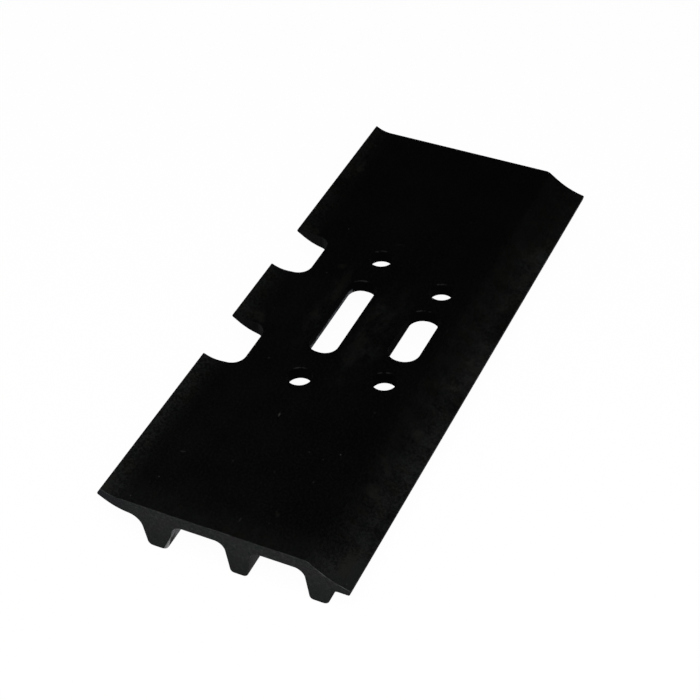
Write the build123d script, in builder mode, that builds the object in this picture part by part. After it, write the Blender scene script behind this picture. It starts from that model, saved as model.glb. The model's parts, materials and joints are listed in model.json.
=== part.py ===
from build123d import *

import os
from math import cos, radians, sin, tan

# Driving dimensions, in millimetres and degrees.
# The section is drawn with its datum on the flat link seat, midway between the two bolt rows:
# first number across the track shoe, positive towards the raised rear lip, second number up.

# Rolled section
shoe_width = 600.0
plate_thickness = 13.4
section_depth = 47.9

# Grousers
rear_grouser_pitch = 80.7
front_grouser_pitch = 77.7
rear_tip_width = 19.5
middle_tip_width = 16.7
front_tip_width = 18.0
flank_draft = 8.2
rear_grouser_rear_draft = 10.5
rear_grouser_front_draft = 14.0
rear_tip_rear_radius = 5.2
rear_tip_front_radius = 8.5
middle_tip_rear_radius = 4.2
middle_tip_front_radius = 5.4
front_tip_rear_radius = 4.2
front_tip_front_radius = 6.2
root_radius = 10.1
rear_root_radius = 14.5
rear_root_build_up = 2.2
front_root_radius = 7.8

# Raised rear lip
rear_lip_setback = 44.5
rear_lip_rise = 30.7
rear_lip_bend_radius = 31.0
rear_lip_flat = 0.6
rear_edge_thickness = 9.0
rear_edge_top_radius = 1.1
rear_edge_bottom_radius = 1.9
curve_gap = 0.8

# Lowered front lip
front_bend_inset = 10.4
front_bend_angle = 36.5
front_bend_radius = 9.3
front_slope_flat = 8.3
front_lip_angle = 12.8
front_knee_radius = 78.0
front_lip_flat = 1.6
front_edge_thickness = 6.4
front_edge_top_radius = 1.2
front_edge_bottom_radius = 2.0

# Bolt holes
bolt_hole_diameter = 24.5
bolt_row_spacing = 76.1
rear_bolt_spacing = 189.9
front_bolt_spacing = 140.5

# Mud-relief slots, each a little in front of its bolt row
long_slot_length = 113.0
long_slot_width = 29.5
long_slot_end_flat = 2.9
long_slot_offset = 1.2
short_slot_length = 76.9
short_slot_width = 31.8
short_slot_end_flat = 1.4
short_slot_offset = 0.3

# Link notches in the rear lip
notch_spacing = 145.9
notch_width = 59.9
notch_flare = 4.4
notch_corner_radius = 14.2
notch_from_rear_tip = 16.6

# Small rounding that punching and cropping leave on the upper rims
rim_radius = 0.8


def beyond(point, angle, distance):
    """The point at a distance from another, in a direction given in degrees."""
    return (point[0] + distance * cos(radians(angle)), point[1] + distance * sin(radians(angle)))


def arc_run(radius, turn):
    """How far a rounded corner reaches along each of its sides."""
    return radius * tan(radians(turn / 2))


def grouser_corners(tip_centre, tip_width, drafts, roots_z, tip_radii, root_radii):
    """Corners and corner radii of one grouser, from its rear root round the tip to its front root."""
    rear_draft, front_draft = drafts
    rear_z, front_z = roots_z
    rear_tip = (tip_centre + tip_width / 2, -section_depth)
    front_tip = (tip_centre - tip_width / 2, -section_depth)
    rear_root = (rear_tip[0] + (section_depth + rear_z) * tan(radians(rear_draft)), rear_z)
    front_root = (front_tip[0] - (section_depth + front_z) * tan(radians(front_draft)), front_z)
    return [
        (rear_root, root_radii[0]),
        (rear_tip, tip_radii[0]),
        (front_tip, tip_radii[1]),
        (front_root, root_radii[1]),
    ]


# Rear lip: the seat curves up to a rounded edge, and the underside rises with it
rear_tip_centre = rear_grouser_pitch
rear_bend = (rear_tip_centre + rear_lip_setback, 0)
rear_lip_length = arc_run(rear_lip_bend_radius, rear_lip_rise) + rear_lip_flat + rear_edge_top_radius
rear_edge_top = beyond(rear_bend, rear_lip_rise, rear_lip_length)
rear_edge_bottom = beyond(rear_edge_top, rear_lip_rise - 90, rear_edge_thickness)
underside_z = -plate_thickness
valley_reach = (rear_edge_bottom[1] - underside_z) / tan(radians(rear_lip_rise))
valley = (rear_edge_bottom[0] - valley_reach, underside_z)

# Front lip: the seat bends down over the front grouser, then flattens out towards its edge
front_tip_centre = -front_grouser_pitch
front_bend = (front_tip_centre + front_bend_inset, 0)
front_knee_run = arc_run(front_knee_radius, front_bend_angle - front_lip_angle)
front_slope_length = arc_run(front_bend_radius, front_bend_angle) + front_slope_flat + front_knee_run
front_knee = beyond(front_bend, 180 + front_bend_angle, front_slope_length)
front_lip_length = front_knee_run + front_lip_flat + front_edge_top_radius
front_edge_top = beyond(front_knee, 180 + front_lip_angle, front_lip_length)
front_edge_bottom = beyond(front_edge_top, front_lip_angle - 90, front_edge_thickness)

# Grousers, from rear to front
rear_grouser = grouser_corners(
    rear_tip_centre,
    rear_tip_width,
    (rear_grouser_rear_draft, rear_grouser_front_draft),
    (underside_z - rear_root_build_up, underside_z),
    (rear_tip_rear_radius, rear_tip_front_radius),
    (rear_root_radius, root_radius),
)
middle_grouser = grouser_corners(
    0,
    middle_tip_width,
    (flank_draft, flank_draft),
    (underside_z, underside_z),
    (middle_tip_rear_radius, middle_tip_front_radius),
    (root_radius, root_radius),
)
front_grouser = grouser_corners(
    front_tip_centre,
    front_tip_width,
    (flank_draft, flank_draft),
    (underside_z, front_edge_bottom[1]),
    (front_tip_rear_radius, front_tip_front_radius),
    (root_radius, front_root_radius),
)

# The valley under the rear lip starts to curve just where the rear root fillet ends
rear_root = Vector(*rear_grouser[0][0])
valley_line = Vector(*valley) - rear_root
valley_line_angle = valley_line.get_angle(Vector(1, 0))
root_run = arc_run(rear_root_radius, 90 - rear_grouser_rear_draft - valley_line_angle)
lip_underside = Vector(*rear_edge_bottom) - Vector(*valley)
valley_run = min(valley_line.length - root_run, lip_underside.length - rear_edge_bottom_radius) - curve_gap
valley_radius = valley_run / arc_run(1, rear_lip_rise - valley_line_angle)

# Whole outline, clockwise from the front bend along the seat, and back under the grousers
outline = [
    (front_bend, front_bend_radius),
    (rear_bend, rear_lip_bend_radius),
    (rear_edge_top, rear_edge_top_radius),
    (rear_edge_bottom, rear_edge_bottom_radius),
    (valley, valley_radius),
    *rear_grouser,
    *middle_grouser,
    *front_grouser,
    (front_edge_bottom, front_edge_bottom_radius),
    (front_edge_top, front_edge_top_radius),
    (front_knee, front_knee_radius),
]

with BuildSketch() as rolled_section:
    with BuildLine():
        FilletPolyline(*[corner for corner, _ in outline], radius=[r for _, r in outline], close=True)
    make_face()

# The finished shoe stands on its grouser tips, with the origin under the middle of its outer box
section_box = rolled_section.sketch.bounding_box()
middle_y = section_box.center().X
seat_z = -section_box.min.Y
section_plane = Plane(origin=(-shoe_width / 2, -middle_y, seat_z), x_dir=(0, 1, 0), z_dir=(1, 0, 0))
seat_plane = Plane(origin=(0, -middle_y, seat_z))

rear_bolt_row = bolt_row_spacing / 2
front_bolt_row = -bolt_row_spacing / 2
notch_inner_y = rear_tip_centre + notch_from_rear_tip
notch_depth = section_box.max.X - notch_inner_y
notch_mouth = notch_width + 2 * notch_depth * tan(radians(notch_flare))

with BuildPart() as track_shoe:
    # One length of the rolled section
    with BuildSketch(section_plane):
        add(rolled_section.sketch)
    extrude(amount=shoe_width)

    # Two notches that let the chain's links pass the raised lip
    with BuildSketch(seat_plane) as notches:
        with Locations((0, notch_inner_y)):
            with GridLocations(notch_spacing, 1, 2, 1):
                Trapezoid(notch_mouth, notch_depth, 90 - notch_flare, rotation=180, align=(Align.CENTER, Align.MAX))
        fillet(notches.vertices().group_by(Axis.Y)[0], notch_corner_radius)
    extrude(amount=section_depth, both=True, mode=Mode.SUBTRACT)

    # Mud-relief slots between the grousers
    with BuildSketch(seat_plane):
        with Locations((0, rear_bolt_row - long_slot_offset)):
            RectangleRounded(long_slot_length, long_slot_width, (long_slot_width - long_slot_end_flat) / 2)
        with Locations((0, front_bolt_row - short_slot_offset)):
            RectangleRounded(short_slot_length, short_slot_width, (short_slot_width - short_slot_end_flat) / 2)
    extrude(amount=-section_depth, mode=Mode.SUBTRACT)

    # Bolt holes, wider apart at the rear
    with Locations(seat_plane):
        with Locations((0, rear_bolt_row)):
            with GridLocations(rear_bolt_spacing, 1, 2, 1):
                Hole(bolt_hole_diameter / 2)
        with Locations((0, front_bolt_row)):
            with GridLocations(front_bolt_spacing, 1, 2, 1):
                Hole(bolt_hole_diameter / 2)

    # The cropped ends are slightly rounded all round
    ends = track_shoe.faces().filter_by(Axis.X).group_by(Axis.X)
    fillet(ends[0].edges() + ends[-1].edges(), rim_radius)

    # So are the upper rims of the slots
    link_seat = track_shoe.faces().filter_by(Axis.Z).sort_by(Axis.Z)[-1]
    slot_rims = [rim for rim in link_seat.inner_wires() if len(rim.edges()) > 1]
    fillet([edge for rim in slot_rims for edge in rim.edges()], rim_radius)

track_shoe.part.label = "track_shoe"

os.makedirs("parts", exist_ok=True)
export_step(track_shoe.part, "parts/track_shoe.step")
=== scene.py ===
"""Looks of an excavator's triple-grouser track shoe: black paint on rolled steel, on a white studio floor."""
import json
from math import radians
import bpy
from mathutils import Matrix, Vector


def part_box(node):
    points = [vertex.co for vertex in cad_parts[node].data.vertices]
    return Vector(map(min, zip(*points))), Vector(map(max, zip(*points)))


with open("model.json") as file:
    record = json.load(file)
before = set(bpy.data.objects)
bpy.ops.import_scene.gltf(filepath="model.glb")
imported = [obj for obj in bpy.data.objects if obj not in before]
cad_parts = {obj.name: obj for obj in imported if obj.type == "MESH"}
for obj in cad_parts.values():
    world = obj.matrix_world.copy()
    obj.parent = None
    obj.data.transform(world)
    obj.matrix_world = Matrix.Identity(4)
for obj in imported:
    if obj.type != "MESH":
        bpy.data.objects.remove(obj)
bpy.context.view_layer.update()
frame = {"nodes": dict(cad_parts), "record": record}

from types import SimpleNamespace

import bpy
from mathutils import Matrix, Vector

# The shoe's own places and sizes, in metres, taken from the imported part
shoe = frame["nodes"]["track_shoe"]
shoe_low, shoe_high = (Vector(corner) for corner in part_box("track_shoe"))
mounts = {mount["name"]: mount for mount in frame["record"]["mounts"]}
openings = {opening["name"]: opening["box_m"] for opening in frame["record"]["physics"]["openings"]}
link_seat_z = mounts["link_seat"]["pos_m"][2]
half_width = shoe_high.x

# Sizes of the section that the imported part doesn't name, in metres
plate_thickness = 0.0134
crop_rounding = 0.0008
front_bend_y = -0.082
rear_bend_y = 0.101
rear_grouser_y = 0.066
front_grouser_y = -0.093

# The round far ends of the two slots: middle of the rounding and its radius
slot_ends = [((0.0425, 0.0219), 0.0140), ((0.0230, -0.0533), 0.0155)]

# The torn corner of the rear grouser's near end: its edge leans, from its place at the tip, with the height
torn_corner_y = 0.0606
torn_corner_lean = 0.4725
torn_corner_top = 0.026

# The rims of holes and slots carry a painted highlight on the side that lies this way from their middle
highlight_side = (0.92, 0.39, 0.0)

# Marks on the upper side: place, half sizes in metres, turn in degrees, strength
pale_marks = [
    ((-0.1487, 0.0177), (0.0034, 0.0012), 10, 0.85),
    ((-0.1737, -0.0560), (0.0011, 0.0010), 0, 1.0),
    ((-0.2257, 0.0765), (0.0012, 0.0038), 12, 0.32),
    ((-0.2620, 0.0812), (0.0013, 0.0011), 0, 0.42),
    ((-0.2185, 0.0298), (0.0014, 0.0015), 0, 0.22),
    ((-0.1484, 0.0607), (0.0011, 0.0009), 0, 0.20),
    ((-0.0828, 0.0612), (0.0016, 0.0017), 0, 0.26),
    ((-0.0884, -0.0010), (0.0013, 0.0012), 0, 0.14),
    ((-0.1818, -0.0288), (0.0018, 0.0015), 0, 0.18),
    ((-0.1120, -0.0622), (0.0014, 0.0016), 0, 0.18),
    ((-0.2800, -0.0090), (0.0040, 0.0012), 4, 0.22),
    ((-0.0153, 0.0892), (0.0012, 0.0010), 0, 0.20),
    ((-0.2164, -0.0108), (0.0012, 0.0012), 0, 0.25),
    ((-0.2140, -0.0480), (0.0014, 0.0014), 0, 0.25),
    ((0.1230, 0.0150), (0.0062, 0.0016), -59, 0.12),
    ((0.1850, -0.0384), (0.0018, 0.0008), 0, 0.30),
    ((0.0190, -0.0800), (0.0060, 0.0007), 4, 0.12),
]

# Thin films of dried soil on the upper side, given in the same way
soil_patches = [
    ((-0.2770, -0.1100), (0.0160, 0.0090), 0, 1.0),
    ((-0.1925, -0.1000), (0.0130, 0.0110), 10, 0.9),
    ((-0.1600, -0.0960), (0.0070, 0.0090), 0, 0.7),
    ((-0.1100, -0.1020), (0.0110, 0.0100), 20, 0.8),
    ((-0.2590, -0.0350), (0.0060, 0.0040), 15, 0.7),
    ((0.0690, 0.0550), (0.0080, 0.0060), 30, 0.5),
    ((0.0210, -0.0070), (0.0100, 0.0050), 0, 0.6),
    ((0.2290, 0.1060), (0.0160, 0.0060), 0, 0.8),
    ((-0.0340, 0.1020), (0.0150, 0.0160), 0, 0.9),
    ((0.1120, 0.1060), (0.0130, 0.0130), 0, 0.7),
    ((0.0000, -0.1150), (0.0400, 0.0080), 0, 0.8),
    ((0.1600, -0.1140), (0.0400, 0.0070), 0, 0.8),
]

# Places on the lips where the dust is wiped off, given in the same way
bare_patches = [
    ((-0.0500, -0.1180), (0.0220, 0.0090), 0, 0.6),
    ((0.0750, -0.1190), (0.0600, 0.0110), 0, 0.7),
    ((-0.2300, -0.1200), (0.0500, 0.0080), 0, 0.4),
    ((0.1900, 0.1120), (0.0200, 0.0140), 0, 0.8),
    ((0.2000, -0.1000), (0.0250, 0.0140), 0, 0.5),
]

# Colours of the paint, of what lies on it, of the steel where it is rubbed or torn, and of painted highlights and
# shade, in linear light
colours = SimpleNamespace(
    paint_dark=(0.0002, 0.0002, 0.0002),
    paint_light=(0.0009, 0.0009, 0.0009),
    grain_dark=(0.0, 0.0, 0.0),
    grain_light=(0.0027, 0.0027, 0.0027),
    # painted shade: the cut walls darker than the paint
    cut_wall=(0.0006, 0.0006, 0.0006),
    dust=(0.0069, 0.0077, 0.0072),
    earthy_dust=(0.0081, 0.0080, 0.0067),
    soil=(0.0090, 0.0090, 0.0078),
    grit=(0.050, 0.050, 0.047),
    pale_mark=(0.026, 0.026, 0.025),
    # painted highlight on the rims of holes and slots
    rim_highlight=(0.017, 0.017, 0.0165),
    end_green=(0.0080, 0.0128, 0.0114),
    end_purple=(0.0146, 0.0120, 0.0144),
    end_grain=(0.0172, 0.0180, 0.0174),
    end_speck=(0.0225, 0.0238, 0.0225),
    # painted shade low on the ends and towards the rear lip
    end_low_shade=(0.0084, 0.0092, 0.0092),
    end_lip_root_shade=(0.0104, 0.0104, 0.0122),
    # painted highlight, over rubbed paint, along the crop's upper edge
    crop_edge_highlight_and_wear=(0.082, 0.089, 0.085),
    scraped_flank=(0.15, 0.15, 0.16),
    bright_slot_edge=(0.130, 0.135, 0.145),
    notch_wall=(0.0050, 0.0050, 0.0051),
    # painted highlight on the notches' rounded inner corners
    notch_corner_highlight=(0.0120, 0.0123, 0.0126),
    bare_steel=(0.24, 0.24, 0.24),
)

# Finish of the surface: roughness by region, gloss of the paint's clear top, and fine relief
finish = SimpleNamespace(
    satin_low=0.36,
    satin_high=0.48,
    dusty=0.9,
    beneath=0.74,
    matt=0.97,
    specular_level=0.03,
    clean_coat=0.066,
    dusty_coat=0.02,
    coat_gain_beneath=1.55,
    coat_roughness=0.4,
    grain_share=0.35,
    relief_strength=0.2,
    relief_height=0.0004,
)

# Camera of the photograph: a point beside the near end, looking down on the link seat
camera_place = Vector((-1.19246, -0.56305, link_seat_z + 1.14945))
camera_aim = Vector((-0.04262, -0.00517, link_seat_z))
camera_roll = radians(1.9)
photo_width_px = 700
lens_in_photo_px = 1800.4
sensor_width_mm = 36.0

# Soft square lamps: name, place, point that it faces, side in metres, watts
softboxes = [
    ("overhead_softbox", (-0.9, -0.3, 2.3), (0, 0, 0), 1.6, 32.0),
    ("camera_side_softbox", (-1.6, -1.0, 1.6), (0, 0, 0.03), 1.2, 34.0),
    ("front_fill", (-0.8, -2.2, 0.9), (0, 0, 0.03), 1.0, 12.0),
    ("far_end_fill", (1.3, 2.0, 0.5), (0.2, 0, 0.03), 0.8, 10.0),
    ("rear_fill", (-0.6, 2.2, 1.2), (0, 0, 0.03), 1.0, 6.0),
]

# Floor and room
floor_side = 60.0
floor_white = (0.95, 0.95, 0.95, 1)
glow_white = (1, 1, 1, 1)
glow_share = 0.97
room_grey = (0.95, 0.97, 1.0, 1)
room_strength = 0.03


def stand_camera():
    """Puts the camera where the photograph was taken from."""
    data = bpy.data.cameras.new("photo_camera")
    data.sensor_width = sensor_width_mm
    data.lens = sensor_width_mm * lens_in_photo_px / photo_width_px
    camera = bpy.data.objects.new("photo_camera", data)
    bpy.context.scene.collection.objects.link(camera)
    camera.location = camera_place
    looking = (camera_aim - camera_place).to_track_quat("-Z", "Y").to_matrix()
    camera.rotation_euler = (looking @ Matrix.Rotation(-camera_roll, 3, "Z")).to_euler()
    bpy.context.scene.camera = camera


def hang_softbox(name, place, aim, side, watts):
    """A soft square studio lamp."""
    data = bpy.data.lights.new(name, "AREA")
    data.size = side
    data.energy = watts
    lamp = bpy.data.objects.new(name, data)
    bpy.context.scene.collection.objects.link(lamp)
    lamp.location = place
    lamp.rotation_euler = (Vector(aim) - Vector(place)).to_track_quat("-Z", "Y").to_euler()


class Nodes:
    """The node tree of one material or world: each call adds a node and gives what it puts out."""

    def __init__(self, owner):
        owner.use_nodes = True
        self.tree = owner.node_tree
        self.tree.nodes.clear()

    def add(self, kind, inputs=None, **settings):
        """A new node; inputs maps a socket's name or number to a value, or to the output that feeds it."""
        made = self.tree.nodes.new(kind)
        for setting, value in settings.items():
            setattr(made, setting, value)
        for socket, value in (inputs or {}).items():
            self.feed(made.inputs[socket], value)
        return made

    def feed(self, socket, value):
        """Joins an output to a socket, or sets the socket's own value."""
        if isinstance(value, bpy.types.NodeSocket):
            self.tree.links.new(value, socket)
        else:
            socket.default_value = value

    def maths(self, operation, first, second=0.0):
        """The result of one sum on two values or outputs."""
        return self.add("ShaderNodeMath", {0: first, 1: second}, operation=operation).outputs[0]

    def fold(self, operation, values):
        """One sum carried through a list of values."""
        result = values[0]
        for value in values[1:]:
            result = self.maths(operation, result, value)
        return result

    def total(self, *values):
        return self.fold("ADD", values)

    def product(self, *values):
        return self.fold("MULTIPLY", values)

    def largest(self, *values):
        return self.fold("MAXIMUM", values)

    def size_of(self, value):
        """A value without its sign."""
        return self.maths("ABSOLUTE", value)

    def rest_of(self, mask):
        """Where a mask isn't."""
        return self.maths("SUBTRACT", 1.0, mask)

    def mixture(self, *shares, base=0.0):
        """Masks added up, each times its share, on top of a base."""
        return self.total(*(self.product(mask, share) for mask, share in shares), base)

    def ramp(self, value, low, high, at_low=0.0, at_high=1.0):
        """A smooth step that goes from at_low to at_high while a value goes from low to high."""
        sockets = {"Value": value, "From Min": low, "From Max": high, "To Min": at_low, "To Max": at_high}
        return self.add("ShaderNodeMapRange", sockets, interpolation_type="SMOOTHSTEP").outputs["Result"]

    def blend(self, factor, first, second):
        """Two colours blended by a factor."""
        made = self.add("ShaderNodeMix", data_type="RGBA")
        for name, value in (("Factor_Float", factor), ("A_Color", first), ("B_Color", second)):
            socket = next(s for s in made.inputs if s.identifier == name)
            self.feed(socket, (*value, 1.0) if isinstance(value, tuple) else value)
        return next(s for s in made.outputs if s.identifier == "Result_Color")

    def noise(self, place, per_metre, detail=4.0, roughness=0.55, stretch=(1.0, 1.0, 1.0), turn=0.0):
        """Fractal noise, stretched and turned about the vertical."""
        laid = self.add("ShaderNodeMapping", {"Vector": place, "Rotation": (0, 0, radians(turn)), "Scale": stretch})
        sockets = {"Vector": laid.outputs[0], "Scale": per_metre, "Detail": detail, "Roughness": roughness}
        return self.add("ShaderNodeTexNoise", sockets).outputs["Fac"]

    def patches(self, place, per_metre, low, high, at_low=0.0, at_high=1.0, **pattern):
        """Noise spread out, so that its values from low to high fill the whole range."""
        return self.ramp(self.noise(place, per_metre, **pattern), low, high, at_low, at_high)

    def spot(self, flat_place, centre, half_sizes, turn=0.0, soft_from=1.0, full_at=0.3):
        """One rounded mark seen from above, strongest at its middle."""
        sockets = {"Vector": flat_place, "Location": (*centre, 0), "Rotation": (0, 0, radians(turn)),
                   "Scale": (*half_sizes, 1)}
        laid = self.add("ShaderNodeMapping", sockets, vector_type="TEXTURE")
        away = self.add("ShaderNodeVectorMath", {0: laid.outputs[0]}, operation="LENGTH").outputs["Value"]
        return self.ramp(away, soft_from, full_at)


def read_surface(nodes):
    """Where a point of the surface is, which way it faces, and the main regions of the shoe."""
    at = SimpleNamespace()
    at.place = nodes.add("ShaderNodeTexCoord").outputs["Object"]
    at.along, at.across, at.up = nodes.add("ShaderNodeSeparateXYZ", {0: at.place}).outputs
    normal = nodes.add("ShaderNodeNewGeometry").outputs["Normal"]
    _, at.facing_across, at.facing_up = nodes.add("ShaderNodeSeparateXYZ", {0: normal}).outputs
    at.from_middle = nodes.size_of(at.along)

    # The place seen from above: as it is, and moved about by noise, which makes the outline of a patch ragged
    at.flat = nodes.add("ShaderNodeCombineXYZ", {0: at.along, 1: at.across}).outputs[0]
    swirl = nodes.add("ShaderNodeTexNoise", {"Vector": at.place, "Scale": 70.0, "Detail": 4.0}).outputs["Color"]
    swing = Vector((0.030, 0.022, 0.0))
    shift = {0: swirl, 1: swing, 2: -swing / 2}
    wander = nodes.add("ShaderNodeVectorMath", shift, operation="MULTIPLY_ADD").outputs[0]
    at.ragged = nodes.add("ShaderNodeVectorMath", {0: at.flat, 1: wander}, operation="ADD").outputs[0]

    # Upper side, underside, cropped ends, and the walls of all openings with their rounded upper rims
    at.upper = nodes.ramp(at.facing_up, 0.3, 0.7)
    at.beneath = nodes.ramp(at.facing_up, 0.2, -0.1)
    at.end = nodes.ramp(at.from_middle, half_width - crop_rounding, half_width - 0.2 * crop_rounding)
    in_plate = nodes.ramp(at.up, link_seat_z - 1.25 * plate_thickness, link_seat_z - 1.1 * plate_thickness)
    upright = nodes.ramp(nodes.size_of(at.facing_up), 0.35, 0.12)
    rim = nodes.product(
        nodes.ramp(at.facing_up, 0.98, 0.90),
        nodes.ramp(at.across, front_bend_y + 0.0105, front_bend_y + 0.0115),
        nodes.ramp(at.across, rear_bend_y - 0.004, rear_bend_y - 0.008))
    at.cut_wall = nodes.product(nodes.largest(upright, rim), in_plate, nodes.rest_of(at.end))
    return at


def paint_colour(nodes, at):
    """Black paint, uneven in cloudy patches and in a fine grain; dead black on the cut walls, which is painted shade.
    """
    clouds = nodes.patches(at.place, per_metre=14.0, low=0.32, high=0.68, roughness=0.6)
    grain = nodes.patches(at.place, per_metre=460.0, low=0.40, high=0.68, detail=2.0, roughness=0.6)
    cloudy = nodes.blend(clouds, colours.paint_dark, colours.paint_light)
    grainy = nodes.blend(grain, colours.grain_dark, colours.grain_light)
    grain_share = 0.6
    painted = nodes.blend(grain_share, cloudy, grainy)
    return nodes.blend(at.cut_wall, painted, colours.cut_wall)


def marks(nodes, at, seen_from_above, listed):
    """The listed marks as one mask on the upper side."""
    spots = [
        nodes.product(nodes.spot(seen_from_above, centre, half_sizes, turn), strength)
        for centre, half_sizes, turn, strength in listed
    ]
    return nodes.product(nodes.largest(*spots), at.upper)


def dust_film(nodes, at):
    """How much dust lies on the upper side: most on the front slope, some on the rear lip, a trace on the seat."""
    wiped = nodes.patches(
        at.place, per_metre=45.0, low=0.32, high=0.68, detail=6.0, roughness=0.66, stretch=(1.0, 0.25, 1.0), turn=6)
    smeared = nodes.patches(
        at.place, per_metre=62.0, low=0.42, high=0.60, detail=5.0, roughness=0.66, stretch=(0.6, 1.0, 1.0))
    blotches = nodes.patches(at.place, per_metre=75.0, low=0.34, high=0.68, roughness=0.6)
    powder = nodes.patches(at.place, per_metre=400.0, low=0.40, high=0.62, detail=3.0, roughness=0.6)

    slope = nodes.product(
        nodes.ramp(at.across, front_bend_y + 0.012, shoe_low.y - 0.010),
        nodes.mixture((wiped, 0.42), (blotches, 0.32), (powder, 0.52), base=0.12),
        nodes.ramp(at.along, 0.17, 0.25, at_low=1.0, at_high=0.50),
        nodes.ramp(at.along, -0.25, -0.290, at_low=1.0, at_high=1.38))
    rear_lip = nodes.product(
        nodes.ramp(at.across, rear_bend_y - 0.010, shoe_high.y + 0.005, at_high=1.45),
        nodes.mixture((blotches, 0.22), (powder, 0.6), base=0.2),
        nodes.ramp(at.along, -0.21, 0.20, at_low=1.0, at_high=0.60),
        nodes.ramp(at.along, -0.265, -0.295, at_low=1.0, at_high=1.3))

    between_slots = nodes.spot(at.ragged, (-0.012, -0.016), (0.100, 0.028))
    behind_slot = nodes.spot(at.ragged, (0.004, 0.044), (0.085, 0.014))
    smudges = nodes.product(
        nodes.largest(between_slots, behind_slot), nodes.mixture((smeared, 1.0), (powder, 0.45)))
    haze = nodes.product(
        nodes.total(nodes.ramp(at.along, -0.262, -0.296), 0.06),
        nodes.mixture((smeared, 0.35), (powder, 0.45), base=0.38))
    seat_share = 0.34
    seat = nodes.product(nodes.total(smudges, haze), seat_share)

    wiped_share = 0.75
    left_on = nodes.rest_of(nodes.product(marks(nodes, at, at.ragged, bare_patches), wiped_share))
    return nodes.product(nodes.total(slope, rear_lip, seat), left_on, at.upper)


def dust_colour(nodes, at):
    """Grey-green dust, olive brown where soil has dried on it, a little more so away from the near end."""
    uneven = nodes.noise(at.place, per_metre=60.0, detail=6.0, roughness=0.65)
    farther = nodes.ramp(at.along, -0.15, 0.10, at_high=0.06)
    earthy = nodes.ramp(nodes.total(uneven, farther), 0.48, 0.66)
    return nodes.blend(earthy, colours.dust, colours.earthy_dust)


def dried_soil(nodes, at):
    """Thin crumbled films of dried soil."""
    crumbled = nodes.patches(at.place, per_metre=110.0, low=0.36, high=0.60)
    cover = 0.55
    return nodes.product(marks(nodes, at, at.ragged, soil_patches), crumbled, cover)


def grit(nodes, at):
    """Scattered specks of grit, each a millimetre or so."""
    cells = nodes.add("ShaderNodeTexVoronoi", {"Vector": at.place, "Scale": 55.0})
    close = nodes.ramp(cells.outputs["Distance"], 0.045, 0.015)
    chance = nodes.add("ShaderNodeSeparateXYZ", {0: cells.outputs["Color"]}).outputs[0]
    return nodes.product(close, nodes.ramp(chance, 0.55, 0.98, at_high=0.42), at.upper)


def painted_rim_highlights(nodes, at):
    """A painted highlight on the upper rims of the holes and slots, in a short broken arc on one side."""
    round_rims = list(slot_ends)
    for name in ("rear_bolts", "front_bolts"):
        x, y, _ = mounts[name]["pos_m"]
        dims = mounts[name]["dims"]
        for side in (-0.5, 0.5):
            round_rims.append(((x + side * dims["spacing_x_mm"] / 1000, y), dims["hole_r_mm"] / 1000))
    arcs = []
    for (x, y), radius in round_rims:
        offset = nodes.add("ShaderNodeVectorMath", {0: at.flat, 1: (x, y, 0)}, operation="SUBTRACT").outputs[0]
        away = nodes.add("ShaderNodeVectorMath", {0: offset}, operation="LENGTH").outputs["Value"]
        at_rim = nodes.ramp(nodes.size_of(nodes.maths("SUBTRACT", away, radius)), 0.0013, 0.0004)
        reach = nodes.add(
            "ShaderNodeVectorMath", {0: offset, 1: highlight_side}, operation="DOT_PRODUCT").outputs["Value"]
        arcs.append(nodes.product(at_rim, nodes.ramp(reach, 0.86 * radius, 0.98 * radius, at_high=0.8)))
    near_top = nodes.ramp(at.up, link_seat_z - 0.0014, link_seat_z - 0.0006)
    patchy = nodes.patches(at.place, per_metre=220.0, low=0.36, high=0.56, detail=2.0)
    return nodes.product(nodes.largest(*arcs), near_top, patchy)


def end_colour(nodes, at):
    """Cropped ends: matt charcoal, mottled green and purple, with painted shade towards the grouser tips and towards
    the rear lip.
    """
    mottle = nodes.patches(at.place, per_metre=85.0, low=0.36, high=0.64, roughness=0.6)
    grain = nodes.patches(at.place, per_metre=420.0, low=0.32, high=0.68, detail=3.0)
    specks = nodes.patches(at.place, per_metre=260.0, low=0.52, high=0.70, detail=2.0)
    # Painted shade: darker towards the bottom and towards the rear lip
    low_shade = nodes.ramp(at.up, 0.0, link_seat_z, at_low=0.65, at_high=0.0)
    lip_root_shade = nodes.ramp(at.across, 0.088, 0.104, at_high=0.7)

    tint = nodes.blend(mottle, colours.end_green, colours.end_purple)
    grainy = nodes.blend(grain, tint, colours.end_grain)
    specked = nodes.blend(specks, grainy, colours.end_speck)
    shaded = nodes.blend(low_shade, specked, colours.end_low_shade)
    return nodes.blend(lip_root_shade, shaded, colours.end_lip_root_shade)


def crop_edge_highlight_and_wear(nodes, at):
    """A painted highlight along the upper edge of the crop, over paint rubbed thin there, most on the front slope and
    the rear lip.
    """
    band = nodes.ramp(at.from_middle, half_width - 1.15 * crop_rounding, half_width - 0.7 * crop_rounding)
    upper_edge = nodes.product(band, nodes.ramp(at.facing_up, 0.25, 0.6), nodes.rest_of(at.end))
    broken = nodes.patches(at.place, per_metre=70.0, low=0.42, high=0.62, detail=3.0)
    uneven = nodes.patches(at.place, per_metre=110.0, low=0.38, high=0.60, detail=3.0)
    on_slope = nodes.product(
        nodes.ramp(at.across, front_bend_y + 0.004, front_bend_y - 0.004),
        nodes.mixture((uneven, 0.8), base=0.2))
    on_lip = nodes.ramp(at.across, rear_bend_y, rear_bend_y + 0.012, at_high=0.4)
    return nodes.product(upper_edge, nodes.largest(nodes.product(broken, 0.35), on_slope, on_lip))


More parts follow.
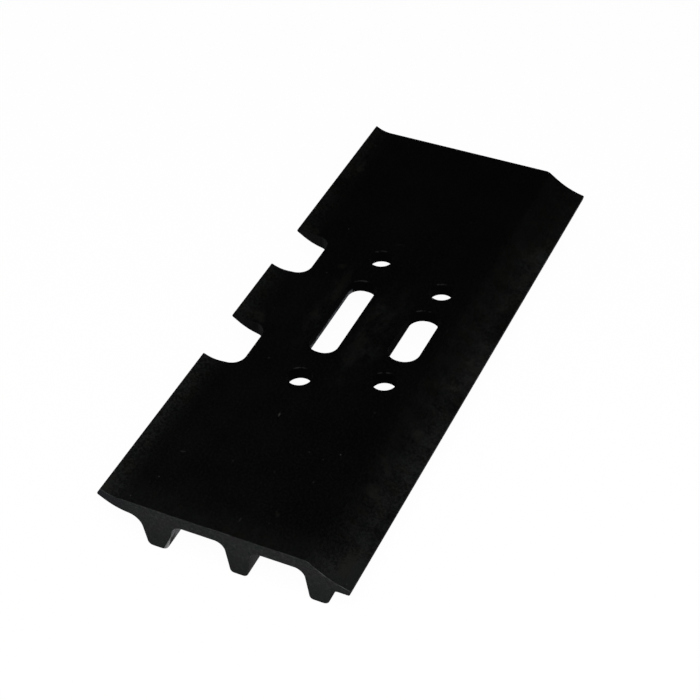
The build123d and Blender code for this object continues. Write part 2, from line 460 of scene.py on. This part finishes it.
def bare_corner(nodes, at):
    """The torn front corner of the rear grouser at the near end, bare steel up to a leaning edge."""
    near_end = nodes.ramp(at.along, -half_width + 0.002, -half_width + 0.001)
    on_grouser = nodes.product(
        nodes.ramp(at.across, rear_grouser_y - 0.026, rear_grouser_y - 0.022),
        nodes.ramp(at.up, torn_corner_top + 0.002, torn_corner_top - 0.002))
    leaning = nodes.total(at.across, nodes.product(at.up, torn_corner_lean))
    beyond_edge = nodes.ramp(leaning, torn_corner_y + 0.0003, torn_corner_y - 0.0003)
    brighter_outwards = nodes.ramp(leaning, torn_corner_y, torn_corner_y - 0.003, at_low=0.45)
    return nodes.product(near_end, at.end, on_grouser, beyond_edge, brighter_outwards)


def scraped_flank(nodes, at):
    """Scrapes along the rear grouser's front flank, fading away from the near end and towards the tip."""
    flank = nodes.product(
        nodes.ramp(at.facing_across, -0.6, -0.9),
        nodes.ramp(at.up, link_seat_z - 0.012, link_seat_z - 0.017),
        nodes.ramp(at.across, rear_grouser_y - 0.040, rear_grouser_y - 0.032))
    reach = nodes.ramp(at.along, -half_width + 0.16, -half_width + 0.02)
    tipwards = nodes.largest(
        nodes.ramp(at.up, 0.013, 0.020),
        nodes.ramp(at.along, -half_width + 0.007, -half_width + 0.012, at_high=0.8))
    streaks = nodes.patches(
        at.place, per_metre=70.0, low=0.35, high=0.65, at_low=0.35, detail=5.0, roughness=0.7,
        stretch=(0.4, 1.0, 1.6))
    return nodes.product(flank, reach, tipwards, streaks)


def notch_walls(nodes, at):
    """The walls of the two link notches, a lighter grey than the other cut walls, and a painted highlight on their
    rounded inner corners.
    """
    opening_clearance = 0.005
    inner_wall_y = openings["left_notch"][0][1] - opening_clearance
    smudged = nodes.patches(at.place, per_metre=130.0, low=0.36, high=0.62)
    walls = nodes.product(
        at.cut_wall,
        nodes.ramp(at.across, inner_wall_y - 0.003, inner_wall_y - 0.001),
        nodes.mixture((smudged, 0.45), base=0.6))
    corner_highlights = nodes.product(
        walls, nodes.ramp(at.facing_across, 0.15, 0.45), nodes.ramp(at.facing_across, 0.97, 0.85))
    return walls, corner_highlights


def bright_slot_edge(nodes, at):
    """A bright band along the lower edge of the long slot's rear wall."""
    slot_half_length, slot_rear_y, _ = openings["long_slot"][1]
    lowest = nodes.ramp(at.up, link_seat_z - 0.60 * plate_thickness, link_seat_z - 0.85 * plate_thickness)
    rear_wall = nodes.product(
        nodes.ramp(at.facing_across, -0.6, -0.9),
        nodes.ramp(at.across, slot_rear_y - 0.001, slot_rear_y),
        nodes.ramp(at.across, slot_rear_y + 0.006, slot_rear_y + 0.004),
        nodes.ramp(at.from_middle, slot_half_length + 0.009, slot_half_length + 0.006),
        at.cut_wall)
    streaked = nodes.patches(
        at.place, per_metre=120.0, low=0.35, high=0.6, at_low=0.4, detail=3.0, stretch=(1.0, 1.0, 0.3))
    return nodes.product(lowest, rear_wall, streaked)


def painted_steel():
    """Black satin paint over rolled steel, dusty on the lips and matt on the cropped ends; painted highlights on the
    rims, and painted shade on the cut walls and low on the ends.
    """
    material = bpy.data.materials.new("painted_steel")
    nodes = Nodes(material)
    at = read_surface(nodes)
    dust = dust_film(nodes, at)
    walls, corner_highlights = notch_walls(nodes, at)

    # Each layer lies on those before it: how much it covers, and its colour
    layers = [
        (dust, dust_colour(nodes, at)),
        (dried_soil(nodes, at), colours.soil),
        (grit(nodes, at), colours.grit),
        (marks(nodes, at, at.flat, pale_marks), colours.pale_mark),
        (painted_rim_highlights(nodes, at), colours.rim_highlight),
        (at.end, end_colour(nodes, at)),
        (crop_edge_highlight_and_wear(nodes, at), colours.crop_edge_highlight_and_wear),
        (scraped_flank(nodes, at), colours.scraped_flank),
        (bright_slot_edge(nodes, at), colours.bright_slot_edge),
        (walls, colours.notch_wall),
        (corner_highlights, colours.notch_corner_highlight),
        (bare_corner(nodes, at), colours.bare_steel),
    ]
    colour = paint_colour(nodes, at)
    for cover, layer_colour in layers:
        colour = nodes.blend(cover, colour, layer_colour)

    # Satin paint; duller under dust, on the ends and beneath, and matt on the cut walls and under the front lip
    satin = nodes.patches(
        at.place, per_metre=22.0, low=0.3, high=0.7, at_low=finish.satin_low, at_high=finish.satin_high, roughness=0.6)
    muddy = nodes.product(at.beneath, nodes.ramp(at.across, front_grouser_y + 0.004, front_grouser_y - 0.002))
    dusty = nodes.product(nodes.largest(at.end, dust), finish.dusty)
    dull = nodes.product(at.beneath, finish.beneath)
    matt = nodes.product(nodes.largest(at.cut_wall, muddy), finish.matt)
    rough = nodes.largest(satin, dusty, dull, matt)

    # The clear top is missing where the paint is cut away or muddy, and thin beneath beside the near crop
    whole = nodes.rest_of(nodes.largest(at.end, at.cut_wall, nodes.product(muddy, 0.5)))
    near_crop = nodes.ramp(at.along, -half_width + 0.014, -half_width, at_high=0.55)
    coat = nodes.product(
        whole,
        nodes.ramp(dust, 0.0, 0.5, at_low=finish.clean_coat, at_high=finish.dusty_coat),
        nodes.ramp(at.beneath, 0.0, 1.0, at_low=1.0, at_high=finish.coat_gain_beneath),
        nodes.rest_of(nodes.product(at.beneath, near_crop)))

    # Fine grain and a slow ripple of the rolled surface
    grain = nodes.noise(at.place, per_metre=900.0, detail=3.0, roughness=0.6)
    ripple = nodes.noise(at.place, per_metre=55.0, detail=3.0, roughness=0.5, stretch=(0.25, 1.0, 1.0))
    height = nodes.total(nodes.product(grain, finish.grain_share), ripple)
    relief = {"Height": height, "Strength": finish.relief_strength, "Distance": finish.relief_height}
    bump = nodes.add("ShaderNodeBump", relief)

    sockets = {"Base Color": colour, "Roughness": rough, "Coat Weight": coat, "Normal": bump.outputs[0],
               "Specular IOR Level": finish.specular_level, "Coat Roughness": finish.coat_roughness}
    shader = nodes.add("ShaderNodeBsdfPrincipled", sockets)
    nodes.add("ShaderNodeOutputMaterial", {"Surface": shader.outputs[0]})
    return material


def studio_floor():
    """White floor that shows a faint shadow and is bright white to the camera and in reflections."""
    material = bpy.data.materials.new("studio_floor")
    nodes = Nodes(material)
    rays = nodes.add("ShaderNodeLightPath").outputs
    seen = nodes.largest(rays["Is Camera Ray"], rays["Is Glossy Ray"], rays["Is Transmission Ray"])
    paper = nodes.add("ShaderNodeBsdfDiffuse", {"Color": floor_white})
    glow = nodes.add("ShaderNodeEmission", {"Color": glow_white, "Strength": 1.0})
    share = nodes.product(seen, glow_share)
    both = nodes.add("ShaderNodeMixShader", {0: share, 1: paper.outputs[0], 2: glow.outputs[0]})
    nodes.add("ShaderNodeOutputMaterial", {"Surface": both.outputs[0]})
    return material


def lay_floor():
    """A wide floor that the grouser tips stand on."""
    bpy.ops.object.select_all(action="DESELECT")
    bpy.ops.mesh.primitive_plane_add(size=floor_side, location=(0, 0, shoe_low.z))
    floor = bpy.context.object
    floor.name = "studio_floor"
    floor.data.materials.append(studio_floor())
    bpy.ops.object.transform_apply(location=True, rotation=True, scale=True)


def light_world():
    """Dim grey room light."""
    world = bpy.data.worlds.new("studio_room")
    bpy.context.scene.world = world
    nodes = Nodes(world)
    room = nodes.add("ShaderNodeBackground", {"Color": room_grey, "Strength": room_strength})
    nodes.add("ShaderNodeOutputWorld", {"Surface": room.outputs[0]})


shoe_paint = painted_steel()
if not shoe.material_slots:
    shoe.data.materials.append(shoe_paint)
for slot in shoe.material_slots:
    slot.material = shoe_paint

lay_floor()
light_world()
for softbox in softboxes:
    hang_softbox(*softbox)
stand_camera()
bpy.context.scene.view_settings.view_transform = "Standard"
